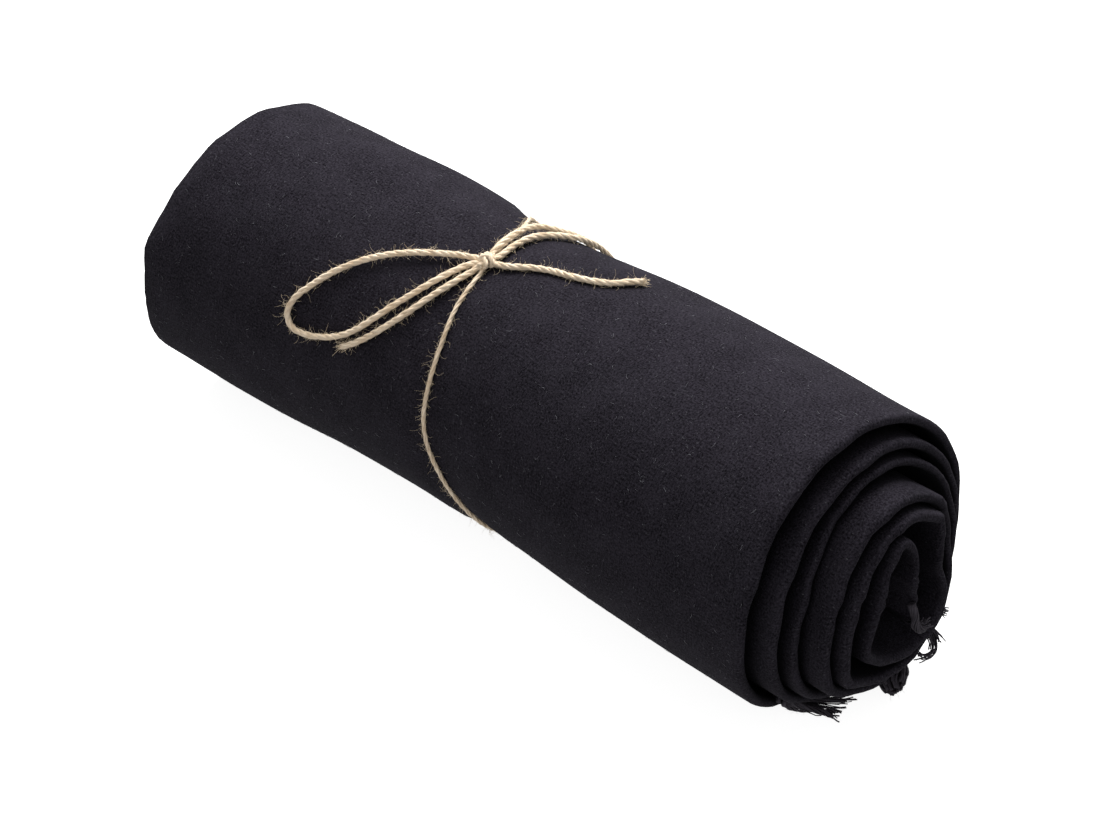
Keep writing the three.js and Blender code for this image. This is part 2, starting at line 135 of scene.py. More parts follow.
RIGHT_LOOP_ROUTE = [
    (-33.2, 94.4, 2.6), (-34.4, 88, 3.2), (-35.6, 80, 3.2), (-36.4, 73, 2.8), (-34.8, 67.2, 2),
    (-32.2, 62, 1.2), (-30.9, 55.5, 0.5), (-31.4, 48, 0.3), (-32.8, 40, 0.3), (-34.4, 32.5, 0.3),
    (-35.2, 26.6, 0.3), (-33.8, 21.4, 0.3), (-29.4, 19.2, 0.3), (-25, 21.4, 0.3), (-23.6, 26.6, 0.3),
    (-24, 34, 0.3), (-24.6, 44, 0.3),
    (-25, 54, 0.3), (-26.4, 62, 0.3), (-29, 69.5, 0.5), (-30.8, 77, 0.8), (-31, 86, 0.8),
    (-30.2, 94.5, 0.8),
]
RIGHT_TAIL_ROUTE = [
    (-26.8, 98.8, 0.6), (-20.8, 97.2, 0.3), (-13.6, 93.6, 0.2), (-5.6, 90.6, 0.2), (6, 88.2, 0.2),
    (14.6, 85.8, 0.2), (20.8, 82.6, 0.2), (24.4, 77.8, 0.2), (27.4, 73, 0.2),
]

# Fringe at the near end: middle line of each lock from its root to its tip, thickness and number of yarns.
# The first locks lie in front of the roll, with the cloth's corner curled up at their roots. The others hang
# from the layers further back, with a tassel among them. The last ones are at the band's inner end.
FRONT_LOCKS = [
    {"line": [(153.6, -29.1, 13), (154.7, -25.4, 10.5), (155.5, -20.3, 7.5), (157.2, -14.2, 4.4),
              (160.3, -8.7, 3), (163.7, -3.4, 2.4), (165.3, 1.5, 2)], "thick": 2.0, "yarns": 7},
    {"line": [(150, -27, 11), (149, -22, 5), (153, -12.5, 2.4), (159, -3, 1.8), (163, 4.6, 3.4)],
     "thick": 1.5, "yarns": 5},
    {"line": [(150, -28, 12), (148, -23, 5), (155, -11, 1.6), (162, -4, 1.1), (167.7, 1.2, 1.4)],
     "thick": 2.0, "yarns": 7},
    {"line": [(150, -29, 12), (147.5, -24, 4.5), (156, -13, 1.2), (163, -8, 1), (167, -4.5, 1)],
     "thick": 1.6, "yarns": 5},
    {"line": [(154.3, -29.9, 12.9), (155.8, -27.9, 10.5), (156.5, -23.8, 7), (157.9, -19.2, 3.6),
              (161.3, -15.7, 2), (165.1, -12.7, 1.4), (169, -11.1, 1.2)], "thick": 3.0, "yarns": 11},
    {"line": [(154, -30.4, 12), (155, -28.4, 8.6), (156, -24, 5), (158, -18.6, 2.4), (163, -14.6, 1.2)],
     "thick": 2.6, "yarns": 9},
    {"line": [(151, -31, 13), (147, -25, 4.5), (151.5, -19, 2.2), (158, -14.8, 1.8), (169.3, -11.6, 1.2)],
     "thick": 2.8, "yarns": 10},
]
CURLED_CORNER = {"centre": (155.6, -30.8, 12.6), "radius": 2.7, "turns": 1.6, "thick": 1.9}
BACK_LOCKS = [
    {"line": [(159, 37, 17), (163, 42, 15.5), (165.6, 44.9, 12), (168, 45.8, 7.2), (170, 43.1, 3.8),
              (170, 37.5, 4.2), (168, 30.8, 8)], "thick": 2.6, "yarns": 9},
    {"line": [(159, 38, 17.5), (164, 43.4, 16), (168, 46.4, 10.5), (171.5, 47.2, 6.4)],
     "thick": 2.4, "yarns": 7},
    {"line": [(159, 35, 16), (165, 41.5, 13), (169, 43, 8), (170.5, 40, 5.6)], "thick": 2.0, "yarns": 6},
    {"line": [(160, 42, 21.5), (165, 48.2, 21.4), (168, 50, 20.6), (171, 51.4, 19.4)],
     "thick": 2.4, "yarns": 8},
    {"line": [(160, 42.5, 22.5), (165, 48.4, 23), (167.6, 50.4, 23.4)], "thick": 1.8, "yarns": 6},
    {"line": [(160, 42, 20.5), (165.5, 47.8, 19.8), (170, 50.6, 17.6)], "thick": 1.6, "yarns": 5},
]
TASSEL = {"line": [(159, 29, 13.5), (165, 25.5, 12), (169, 20, 9.4), (172.5, 15.0, 6.6), (177, 12.2, 4.4)],
          "neck": 1.5, "thick": 12.4, "yarns": 80}
CORE_LOCKS = [
    {"line": [(186.8, 6.4, 58), (188.6, 6.6, 53), (189, 6.8, 48.3), (189.2, 9.4, 44.8), (188.8, 13.4, 43.8),
              (187.2, 17.6, 44.4)], "thick": 3.2, "yarns": 16},
    {"line": [(186.6, 7.4, 56), (188, 8, 50), (188.4, 10.4, 46), (187.6, 14.6, 45.4)],
     "thick": 2.6, "yarns": 10},
]


# Shape of the roll


def along_curve(values, position):
    """Value of a smooth curve through evenly spaced numbers."""
    values = np.asarray(values, float)
    position = np.asarray(position, float)
    last = len(values) - 1
    index = np.clip(np.floor(position).astype(int), 0, last - 1)
    t = np.clip(position - index, 0, 1)

    def at(i):
        return values[np.clip(i, 0, last)]

    start_slope = (at(index + 1) - at(index - 1)) / 2
    end_slope = (at(index + 2) - at(index)) / 2
    rise = at(index + 1) - at(index)
    square = 3 * rise - 2 * start_slope - end_slope
    cube = start_slope + end_slope - 2 * rise
    return at(index) + t * (start_slope + t * (square + t * cube))


RADII = sum((row["radius"] for row in TURNS), [])
REACHES = sum((row["reach"] for row in TURNS), [])
THICKNESSES = sum((row["thick"] for row in TURNS), [])
FARS = sum((row["far"] for row in TURNS), [])


def band_thickness(turn):
    return along_curve(THICKNESSES, np.asarray(turn) / 90)


def near_reach(turn):
    return NEAR_RIM_X + along_curve(REACHES, np.asarray(turn) / 90)


def far_reach(turn):
    return FAR_RIM_X - along_curve(FARS, np.asarray(turn) / 90)


def band_radius(turn):
    radius = along_curve(RADII, np.asarray(turn) / 45)
    for crease in CREASES:
        radius = radius + crease["out"] * np.exp(-np.abs(turn - crease["turn"]) / crease["spread"])
    return radius


def tie_x(around):
    return np.interp((np.asarray(around) + 134.0) % 360 - 134.0, TIE_AROUND, TIE_X)


def bell(distance, reach):
    return np.exp(-((distance / reach) ** 2))


def smooth(t):
    t = np.clip(t, 0, 1)
    return t * t * (3 - 2 * t)


def draw_in(x, around):
    """How far the tie draws the outer face in."""
    past = x - tie_x(around)
    left = past < 0
    side = np.where(left, WAIST["left"], WAIST["right"])
    reach = np.where(left, WAIST["left_reach"], WAIST["right_reach"])
    step = np.where(left, WAIST["right"] - WAIST["left"], 0)
    drawn = side * (1 - smooth(np.abs(past) / reach))
    drawn = drawn + (step + WAIST["pinch"]) * bell(past, WAIST["pinch_reach"])
    for swell in SWELLS:
        apart = (around - swell["around"] + 180) % 360 - 180
        drawn = drawn - swell["out"] * bell(x - swell["x"], swell["reach"]) * bell(apart, swell["spread"])
    return drawn


def rim_radius(x):
    share = np.clip((x - FAR_RIM_X) / (NEAR_RIM_X - FAR_RIM_X), 0, 1)
    return FAR_RIM_RADIUS + (RIM_RADIUS - FAR_RIM_RADIUS) * share


def roll_point(x, around, radius, floor=0.0):
    """Points of the roll in millimetres, at a radius that the tie draws in, above the surface it lies on."""
    x, around, radius = np.broadcast_arrays(*(np.asarray(v, float) for v in (x, around, radius)))
    rim = rim_radius(x)
    drawn = (rim - draw_in(x, around)) * radius / RIM_RADIUS
    angle = np.radians(around)
    height = np.maximum(rim - SETTLED + drawn * np.sin(angle), floor)
    return np.stack([x, drawn * np.cos(angle), height], -1)


def twine_point(x, around, over):
    """A point a given height over the cloth."""
    surface = roll_point(x, around, RIM_RADIUS)
    out = surface - np.array([float(x), 0.0, float(rim_radius(x)) - SETTLED])
    out[0] = 0
    return surface + out / np.linalg.norm(out) * over


# Numbers that wander smoothly


def ripple(t, seed, octaves=3):
    """Between about -1 and 1 along t, with waves about 6 units long and shorter ones."""
    rng = np.random.default_rng(seed)
    total = np.zeros_like(np.asarray(t, float))
    for octave in range(octaves):
        pace = 2.0 ** octave
        shift, bend = rng.uniform(0, 2 * math.pi, 2)
        first, second = rng.uniform(0.8, 1.2, 2)
        total = total + (np.sin(pace * first * t + shift) + np.sin(1.7 * pace * second * t + bend)) / pace
    return total / 2.5


def wander(u, v, seed, waves=9):
    """The same over two directions."""
    rng = np.random.default_rng(seed)
    total = 0.0
    for _ in range(waves):
        heading = rng.uniform(0, 2 * math.pi)
        pace = rng.uniform(0.6, 2.2)
        shift = rng.uniform(0, 2 * math.pi)
        total = total + np.sin(pace * (u * math.cos(heading) + v * math.sin(heading)) + shift)
    return total / math.sqrt(waves)


# Meshes


def add_mesh(name, vertices, faces, material, uv):
    """A mesh object from millimetres in the roll's own frame."""
    placed = (np.asarray(vertices, float) + np.array([CENTRING, 0.0, 0.0])) * MM
    mesh = bpy.data.meshes.new(name)
    mesh.from_pydata(placed.tolist(), [], faces)
    mesh.update()
    mesh.polygons.foreach_set("use_smooth", [True] * len(mesh.polygons))
    layer = mesh.uv_layers.new(name=UV_LAYER)
    loops = np.empty(len(mesh.loops), np.int32)
    mesh.loops.foreach_get("vertex_index", loops)
    layer.data.foreach_set("uv", np.asarray(uv, np.float32)[loops].ravel())
    mesh.materials.append(material)
    piece = bpy.data.objects.new(name, mesh)
    bpy.context.scene.collection.objects.link(piece)
    return piece


def frames_along(points):
    """Two directions across a line of points, turning as little as they can."""
    tangents = np.gradient(points, axis=0)
    tangents /= np.linalg.norm(tangents, axis=1)[:, None] + 1e-12
    start = np.cross(tangents[0], [0.0, 0.0, 1.0])
    if np.linalg.norm(start) < 1e-3:
        start = np.cross(tangents[0], [0.0, 1.0, 0.0])
    side = start / np.linalg.norm(start)
    sides = []
    for tangent in tangents:
        side = side - tangent * (side @ tangent)
        side = side / (np.linalg.norm(side) + 1e-12)
        sides.append(side)
    sides = np.array(sides)
    return sides, np.cross(tangents, sides)


def tube(points, radii, sides):
    """Vertices, faces and uv of a closed tube along a line of points; uv is in millimetres."""
    points = np.asarray(points, float)
    count = len(points)
    radii = np.broadcast_to(np.asarray(radii, float), (count,))
    across, up = frames_along(points)
    angles = 2 * math.pi * np.arange(sides) / sides
    ring = np.cos(angles)[None, :, None] * across[:, None, :] + np.sin(angles)[None, :, None] * up[:, None, :]
    vertices = (points[:, None, :] + radii[:, None, None] * ring).reshape(-1, 3)
    steps = np.linalg.norm(np.diff(points, axis=0), axis=1)
    along = np.concatenate([[0.0], np.cumsum(steps)])
    uv = np.stack(np.broadcast_arrays(along[:, None], angles[None, :] * radii.mean()), -1).reshape(-1, 2)
    faces = []
    for step in range(count - 1):
        for i in range(sides):
            here = step * sides + i
            beside = step * sides + (i + 1) % sides
            faces.append((here, beside, beside + sides, here + sides))
    faces.append(tuple(reversed(range(sides))))
    faces.append(tuple(range((count - 1) * sides, count * sides)))
    return vertices, faces, uv


def joined(parts):
    """One set of vertices, faces and uv from several."""
    vertices, faces, uvs, first = [], [], [], 0
    for part_vertices, part_faces, part_uv in parts:
        vertices.append(part_vertices)
        uvs.append(part_uv)
        faces.extend([tuple(corner + first for corner in face) for face in part_faces])
        first += len(part_vertices)
    return np.concatenate(vertices), faces, np.concatenate(uvs)


def centripetal_curve(points, spacing):
    """Smooth curve through points, then points evenly spaced on it."""
    points = np.asarray(points, float)
    ends = np.concatenate([[2 * points[0] - points[1]], points, [2 * points[-1] - points[-2]]])
    dense = []
    for i in range(len(points) - 1):
        p0, p1, p2, p3 = ends[i:i + 4]
        d0, d1, d2 = (max(np.linalg.norm(b - a) ** 0.5, 1e-4) for a, b in ((p0, p1), (p1, p2), (p2, p3)))
        start = ((p1 - p0) / d0 - (p2 - p0) / (d0 + d1) + (p2 - p1) / d1) * d1
        end = ((p2 - p1) / d1 - (p3 - p1) / (d1 + d2) + (p3 - p2) / d2) * d1
        t = np.linspace(0, 1, 40, endpoint=False)[:, None]
        square = -3 * p1 + 3 * p2 - 2 * start - end
        cube = 2 * p1 - 2 * p2 + start + end
        dense.append(p1 + t * (start + t * (square + t * cube)))
    dense = np.concatenate(dense + [points[-1:]])
    return resampled(dense, spacing)


def resampled(points, spacing):
    along = np.concatenate([[0.0], np.cumsum(np.linalg.norm(np.diff(points, axis=0), axis=1))])
    count = max(int(round(along[-1] / spacing)), 2)
    places = np.linspace(0, along[-1], count + 1)
    return np.stack([np.interp(places, along, points[:, k]) for k in range(3)], -1)


def length_of(points):
    return float(np.linalg.norm(np.diff(points, axis=0), axis=1).sum())


def with_material(made, material):
    """What add_mesh needs besides a name."""
    vertices, faces, uv = made
    return vertices, faces, material, uv


# Materials


def new_material(name):
    material = bpy.data.materials.new(name)
    material.use_nodes = True
    tree = material.node_tree
    shader = next(node for node in tree.nodes if node.type == "BSDF_PRINCIPLED")
    return material, tree, shader


def math_node(tree, operation, first, second=None):
    made = tree.nodes.new("ShaderNodeMath")
    made.operation = operation
    for socket, value in zip(made.inputs, (first, second)):
        if value is None:
            continue
        if isinstance(value, (int, float)):
            socket.default_value = value
        else:
            tree.links.new(value, socket)
    return made.outputs[0]


def ramp(tree, source, stops):
    made = tree.nodes.new("ShaderNodeValToRGB")
    elements = made.color_ramp.elements
    while len(elements) < len(stops):
        elements.new(0.5)
    for element, (place, colour) in zip(elements, stops):
        element.position = place
        element.color = (*colour, 1) if len(colour) == 3 else colour
    tree.links.new(source, made.inputs[0])
    return made.outputs[0]


def noise(tree, vector, scale, detail=2.0, roughness=0.5):
    made = tree.nodes.new("ShaderNodeTexNoise")
    made.inputs["Scale"].default_value = scale
    made.inputs["Detail"].default_value = detail
    made.inputs["Roughness"].default_value = roughness
    tree.links.new(vector, made.inputs["Vector"])
    return made.outputs["Fac"]


def stretched(tree, vector, scale):
    made = tree.nodes.new("ShaderNodeVectorMath")
    made.operation = "MULTIPLY"
    made.inputs[1].default_value = scale
    tree.links.new(vector, made.inputs[0])
    return made.outputs[0]


def mixed(tree, factor, first, second, blend="MIX"):
    made = tree.nodes.new("ShaderNodeMix")
    made.data_type = "RGBA"
    made.blend_type = blend
    if isinstance(factor, (int, float)):
        made.inputs["Factor"].default_value = factor
    else:
        tree.links.new(factor, made.inputs["Factor"])
    slots = [socket for socket in made.inputs if socket.type == "RGBA"]
    for socket, value in zip(slots, (first, second)):
        if isinstance(value, tuple):
            socket.default_value = (*value, 1)
        else:
            tree.links.new(value, socket)
    return next(socket for socket in made.outputs if socket.type == "RGBA")


def painted_crevice_shade(tree, reach, stops):
    """Painted shade: the colour goes dark where other faces crowd the surface, by ambient occlusion."""
    made = tree.nodes.new("ShaderNodeAmbientOcclusion")
    made.samples = 3
    made.inputs["Distance"].default_value = reach
    return ramp(tree, made.outputs["AO"], stops)


def bump(tree, height, strength, distance, below=None):
    made = tree.nodes.new("ShaderNodeBump")
    made.inputs["Strength"].default_value = strength
    made.inputs["Distance"].default_value = distance
    tree.links.new(height, made.inputs["Height"])
    if below is not None:
        tree.links.new(below, made.inputs["Normal"])
    return made.outputs["Normal"]


YARN_PITCH = 0.62
CLOTH_DARK = (0.0026, 0.0022, 0.0033)
CLOTH_LIGHT = (0.0250, 0.0222, 0.0292)
LINT_COLOUR = (0.062, 0.060, 0.068)


def woven_cloth():
    """Plain weave of slubby black yarn, with specks of lint and a soft nap, and painted shade that darkens
    its colour in the gaps between turns and other crevices.
    """
    material, tree, shader = new_material("black_woven_cloth")
    place = tree.nodes.new("ShaderNodeUVMap")
    place.uv_map = UV_LAYER
    parts = tree.nodes.new("ShaderNodeSeparateXYZ")
    tree.links.new(place.outputs[0], parts.inputs[0])
    turns = 2 * math.pi / YARN_PITCH
    slub_u = noise(tree, stretched(tree, place.outputs[0], (0.22, 1.7, 1)), 1.0, 2.0)
    slub_v = noise(tree, stretched(tree, place.outputs[0], (1.7, 0.22, 1)), 1.0, 2.0)
    warp = math_node(tree, "SINE", math_node(tree, "MULTIPLY", parts.outputs[0], turns))
    weft = math_node(tree, "SINE", math_node(tree, "MULTIPLY", parts.outputs[1], turns))
    weave = math_node(tree, "MULTIPLY", warp, weft)
    threads = math_node(tree, "ADD", slub_u, slub_v)
    patches = noise(tree, place.outputs[0], 0.06, 4.0)
    fuzz = noise(tree, place.outputs[0], 1.15, 3.0, 0.7)
    specks = noise(tree, stretched(tree, place.outputs[0], (0.55, 0.9, 1)), 1.1, 4.0, 0.7)
    shade = math_node(tree, "ADD", math_node(tree, "MULTIPLY", threads, 0.16),
                      math_node(tree, "ADD", math_node(tree, "MULTIPLY", patches, 0.16),
                                math_node(tree, "MULTIPLY", fuzz, 0.78)))
    base = ramp(tree, shade, [(0.50, CLOTH_DARK), (0.74, CLOTH_LIGHT)])
    lint = ramp(tree, specks, [(0.60, (0, 0, 0)), (0.72, (1, 1, 1))])
    flecked = mixed(tree, lint, base, LINT_COLOUR)
    # Painted shade: an occlusion factor that darkens the cloth's colour in the gaps between turns and other
    # crevices
    depth = painted_crevice_shade(tree, 0.022, [(0.22, (0.02, 0.015, 0.03)), (0.74, (1, 1, 1))])
    colour = mixed(tree, 1.0, flecked, depth, "MULTIPLY")
    tree.links.new(colour, shader.inputs["Base Color"])
    shader.inputs["Roughness"].default_value = 0.92
    shader.inputs["Specular IOR Level"].default_value = 0.02
    shader.inputs["Sheen Weight"].default_value = 0.008
    shader.inputs["Sheen Roughness"].default_value = 0.5
    shader.inputs["Sheen Tint"].default_value = (0.78, 0.76, 0.86, 1)
    low = bump(tree, fuzz, 0.35, 0.0003)
    tree.links.new(bump(tree, weave, 0.45, 0.00016, low), shader.inputs["Normal"])
    return material


def loose_thread():
    """Untwisted cotton of the fringe, with painted shade that darkens its colour where the yarns crowd
    together.
    """
    material, tree, shader = new_material("fringe_thread")
    place = tree.nodes.new("ShaderNodeUVMap")
    place.uv_map = UV_LAYER
    strands = noise(tree, stretched(tree, place.outputs[0], (0.25, 9.0, 1)), 1.0, 3.0)
    tone = ramp(tree, strands, [(0.35, (0.014, 0.0125, 0.016)), (0.75, (0.080, 0.071, 0.086))])
    # Painted shade: an occlusion factor that darkens the thread's colour where the yarns crowd together
    depth = painted_crevice_shade(tree, 0.008, [(0.20, (0.12, 0.10, 0.14)), (0.70, (1, 1, 1))])
    tree.links.new(mixed(tree, 1.0, tone, depth, "MULTIPLY"), shader.inputs["Base Color"])
    shader.inputs["Roughness"].default_value = 0.85
    shader.inputs["Specular IOR Level"].default_value = 0.06
    shader.inputs["Sheen Weight"].default_value = 0.02
    shader.inputs["Sheen Roughness"].default_value = 0.5
    tree.links.new(bump(tree, strands, 0.4, 0.0001), shader.inputs["Normal"])
    return material


def jute():
    """Pale plied jute, streaked along its fibres."""
    material, tree, shader = new_material("jute_twine")
    place = tree.nodes.new("ShaderNodeUVMap")
    place.uv_map = UV_LAYER
    fibres = noise(tree, stretched(tree, place.outputs[0], (0.35, 6.0, 1)), 1.0, 4.0, 0.6)
    patches = noise(tree, stretched(tree, place.outputs[0], (0.12, 0.6, 1)), 1.0, 2.0)
    tones = [(0.28, (0.34, 0.24, 0.15)), (0.46, (0.70, 0.57, 0.42)), (0.70, (0.87, 0.77, 0.62))]
    tone = ramp(tree, fibres, tones)
    worn = ramp(tree, patches, [(0.3, (0.80, 0.74, 0.66)), (0.6, (1, 1, 1))])
    colour = mixed(tree, 1.0, tone, worn, "MULTIPLY")
    tree.links.new(colour, shader.inputs["Base Color"])
    shader.inputs["Roughness"].default_value = 0.78
    shader.inputs["Specular IOR Level"].default_value = 0.3
    shader.inputs["Sheen Weight"].default_value = 0.25
    shader.inputs["Sheen Roughness"].default_value = 0.4
    tree.links.new(bump(tree, fibres, 0.6, 0.0002), shader.inputs["Normal"])
    return material


def plain_fibre(name, first, second):
    """Fine fibre with a little change of tone along its length."""
    material, tree, shader = new_material(name)
    place = tree.nodes.new("ShaderNodeUVMap")
    place.uv_map = UV_LAYER
    tone = ramp(tree, noise(tree, place.outputs[0], 0.9, 2.0), [(0.35, first), (0.65, second)])
    tree.links.new(tone, shader.inputs["Base Color"])
    shader.inputs["Roughness"].default_value = 0.7
    shader.inputs["Specular IOR Level"].default_value = 0.3
    return material


# Camera


def add_camera():
    azimuth, elevation = math.radians(CAMERA["azimuth"]), math.radians(CAMERA["elevation"])
    back = Vector((math.sin(azimuth) * math.cos(elevation), -math.cos(azimuth) * math.cos(elevation),
                   math.sin(elevation)))
    target = Vector(CAMERA["target"]) + Vector((CENTRING, 0, 0))
    data = bpy.data.cameras.new("camera")
    data.sensor_fit = "HORIZONTAL"
    data.sensor_width = SENSOR_WIDTH
    data.lens = LENS
    data.clip_end = 100
    camera = bpy.data.objects.new("camera", data)
    camera.location = (target + back * CAMERA["distance"]) * MM
    camera.rotation_euler = back.to_track_quat("Z", "Y").to_euler()
    bpy.context.scene.collection.objects.link(camera)
    bpy.context.scene.camera = camera


add_camera()

# Twine

TWINE = jute()
TWINE_FIBRE = plain_fibre("jute_fibre", (0.55, 0.42, 0.26), (0.82, 0.70, 0.52))
STRANDS = 3
PLY_PITCH = 13.0
PLY_SEAT = 0.215
PLY_RADIUS = 0.285
STRAND_SIDES = 7
HAIR_RADIUS = (0.042, 0.022)
HAIR_SHORTEST = 0.8
FRAYED_FIBRES = 46
KNOT_TWINE = 2.3
KNOT_CORE = 3.4


def plied(points, width, seed):
    """Three strands twisted round a line of points."""
    across, up = frames_along(points)
    along = np.concatenate([[0.0], np.cumsum(np.linalg.norm(np.diff(points, axis=0), axis=1))])
    twist = 2 * math.pi * along / PLY_PITCH + 0.7 * ripple(along / 7, seed)
    swell = 1 + 0.09 * ripple(along / 3.5, seed + 1)
    parts = []
    for strand in range(STRANDS):
        angle = (twist + 2 * math.pi * strand / STRANDS)[:, None]
        seat = (PLY_SEAT * width * swell)[:, None]
        centre = points + seat * (np.cos(angle) * across + np.sin(angle) * up)
        radius = PLY_RADIUS * width * (1 + 0.12 * ripple(along / 2.6, seed + 5 + strand))
        parts.append(tube(centre, radius, STRAND_SIDES))
    return parts


def hairs(points, width, seed, per_mm=7.0, longest=6.6):
    """Fine fibres that stand off a twine, curled, most of them short."""
    rng = np.random.default_rng(seed)
    across, up = frames_along(points)
    tangents = np.cross(across, up)
    parts = []
    for _ in range(int(length_of(points) * per_mm)):
        i = rng.integers(0, len(points))
        angle = rng.uniform(0, 2 * math.pi)
        out = math.cos(angle) * across[i] + math.sin(angle) * up[i]
        side = -math.sin(angle) * across[i] + math.cos(angle) * up[i]
        reach = HAIR_SHORTEST + (longest - HAIR_SHORTEST) * rng.uniform(0, 1) ** 3.2
        heading = out * rng.uniform(0.1, 0.7) + tangents[i] * rng.choice([-1, 1]) * rng.uniform(0.4, 1.2)
        heading = heading + side * rng.uniform(-0.5, 0.5)
        heading = heading / np.linalg.norm(heading)
        curl = np.cross(heading, rng.normal(size=3))
        curl = curl / (np.linalg.norm(curl) + 1e-9)
        bend = rng.uniform(0.4, 2.6)
        t = np.linspace(0, 1, 7)[:, None]
        line = points[i] + out * 0.4 * width
        line = line + reach * (np.sin(bend * t) / bend * heading + (1 - np.cos(bend * t)) / bend * curl)
        line[:, 2] = np.maximum(line[:, 2], 0.1)
        parts.append(tube(line, np.linspace(*HAIR_RADIUS, 7) * rng.uniform(0.8, 1.3), 3))
    return parts


def route_points(route, width):
    return np.array([twine_point(x, around, width / 2 + CLEAR + lift) for x, around, lift in route])


def to_knot(points, both_ends):
    """The route goes on into the knot, at its first point, or at both its ends."""
    centre = KNOT_CENTRE + np.array([0.0, 0.0, -0.4])
    first = centre + 0.35 * (points[0] - centre)
    last = centre + 0.35 * (points[-1] - centre)
    return np.concatenate([[first], points, [last]] if both_ends else [[first], points])


def add_twine(name, route, width, seed, node_name, far_end, tail_end=None):
    """A length of twine in place of its solid, with the fibres that stand off it."""
    line = centripetal_curve(to_knot(route_points(route, width), both_ends=tail_end is None), 0.9)
    strands = add_mesh(name, *with_material(joined(plied(line, width, seed)), TWINE))
    fuzz_parts = hairs(line, width, seed + 40)
    if tail_end is not None:
        fuzz_parts += frayed_end(line, width, seed + 80, tail_end)
    fuzz = add_mesh(name + "_hairs", *with_material(joined(fuzz_parts), TWINE_FIBRE))
    for piece in (strands, fuzz):
        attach(piece, "root")
    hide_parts(node_name)
    return strands, fuzz, line


def frayed_end(line, width, seed, end):
    """Cut fibres that spread past an end of the twine."""
    rng = np.random.default_rng(seed)
    tip = line[end]
    ahead = tip - line[end + (1 if end == 0 else -1) * 3]
    ahead = ahead / np.linalg.norm(ahead)
    parts = []
    for _ in range(FRAYED_FIBRES):
        start = tip - ahead * rng.uniform(0.4, 1.6) + rng.normal(size=3) * 0.28 * width
        heading = ahead + rng.normal(size=3) * 0.28
        t = np.linspace(0, 1, 4)[:, None]
        path = start + rng.uniform(1.4, 3.4) * t * heading
        parts.append(tube(path, np.linspace(0.09, 0.04, 4), 4))
    return parts


KNOT_CENTRE = twine_point(KNOT["x"], KNOT["around"], KNOT["half_height"] + CLEAR)


def knot_parts():
    """Wraps of twine round the bundle, leaning a little."""
    centre = KNOT_CENTRE
    tilt = math.radians(KNOT["around"] - 90)
    along = np.array([1.0, 0.0, 0.0])
    tangent = np.array([0.0, math.cos(tilt), math.sin(tilt)])
    out = np.array([0.0, -math.sin(tilt), math.cos(tilt)])
    parts = []
    for shift, lean, width_half, height_half, seed in (
            (-1.3, 0.50, 3.1, 1.7, 601), (1.1, 0.34, 3.3, 1.9, 602), (0.0, -0.85, 2.7, 2.2, 603)):
        bundle = tangent * math.cos(lean) + along * math.sin(lean)
        across = along * math.cos(lean) - tangent * math.sin(lean)
        angle = np.linspace(0, 2 * math.pi, 40)
        ring = [centre + bundle * (shift + 0.5 * math.sin(a)) + across * width_half * math.cos(a)
                + out * height_half * math.sin(a) for a in angle]
        parts += plied(np.array(ring), KNOT_TWINE, seed)
    core = np.array([centre + tangent * t * 4.4 + along * 0.4 * t for t in np.linspace(-1, 1, 14)])
    parts += plied(core - out * 0.3, KNOT_CORE, 604)
    return parts, centre


knot_mesh, knot_centre = knot_parts()
knot = add_mesh("tie_knot_wraps", *with_material(joined(knot_mesh), TWINE))
knot_line = np.array([knot_centre + np.array([0.0, 1.0, 0.0]) * t for t in np.linspace(-4, 4, 9)])
knot_hairs = add_mesh("tie_knot_hairs", *with_material(
    joined(hairs(knot_line, 5.0, 650, 9.0, 5.0)), TWINE_FIBRE))
for piece in (knot, knot_hairs):
    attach(piece, "root")
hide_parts("tie_knot")

band, band_hairs, band_line = add_twine("tie_band_twine", BAND_ROUTE, BAND_WIDTH, 11, "tie_band", "object")
left_loop, left_loop_hairs, left_loop_line = add_twine(
    "bow_loop_left_twine", LEFT_LOOP_ROUTE, BOW_WIDTH, 21, "bow_loop_left", "object")
right_loop, right_loop_hairs, right_loop_line = add_twine(
    "bow_loop_right_twine", RIGHT_LOOP_ROUTE, BOW_WIDTH, 31, "bow_loop_right", "object")
left_tail, left_tail_hairs, left_tail_line = add_twine(
    "bow_tail_left_twine", LEFT_TAIL_ROUTE[::-1], BOW_WIDTH, 51, "bow_tail_left", "bare", -1)
right_tail, right_tail_hairs, right_tail_line = add_twine(
    "bow_tail_right_twine", RIGHT_TAIL_ROUTE, BOW_WIDTH, 61, "bow_tail_right", "bare", -1)

# Cloth

PLY = 0.8
OUTER_LIP_STEPS = 10
INNER_LIP_STEPS = 6
FAR_FOLD_STEPS = 6
FINE_STATIONS = 48
COARSE_STATIONS = 14
OUTER_RINGS = 84
INNER_RINGS = 52
INNER_LIP_GAP = 0.5


def band_turns():
    turns = []
    turn = FREE_END_TURN
    while turn < CORE_END_TURN:
        turns.append(turn)
        turn += 360 / (OUTER_RINGS if turn < 720 else INNER_RINGS)
    turns.append(CORE_END_TURN)
    return np.array(turns)


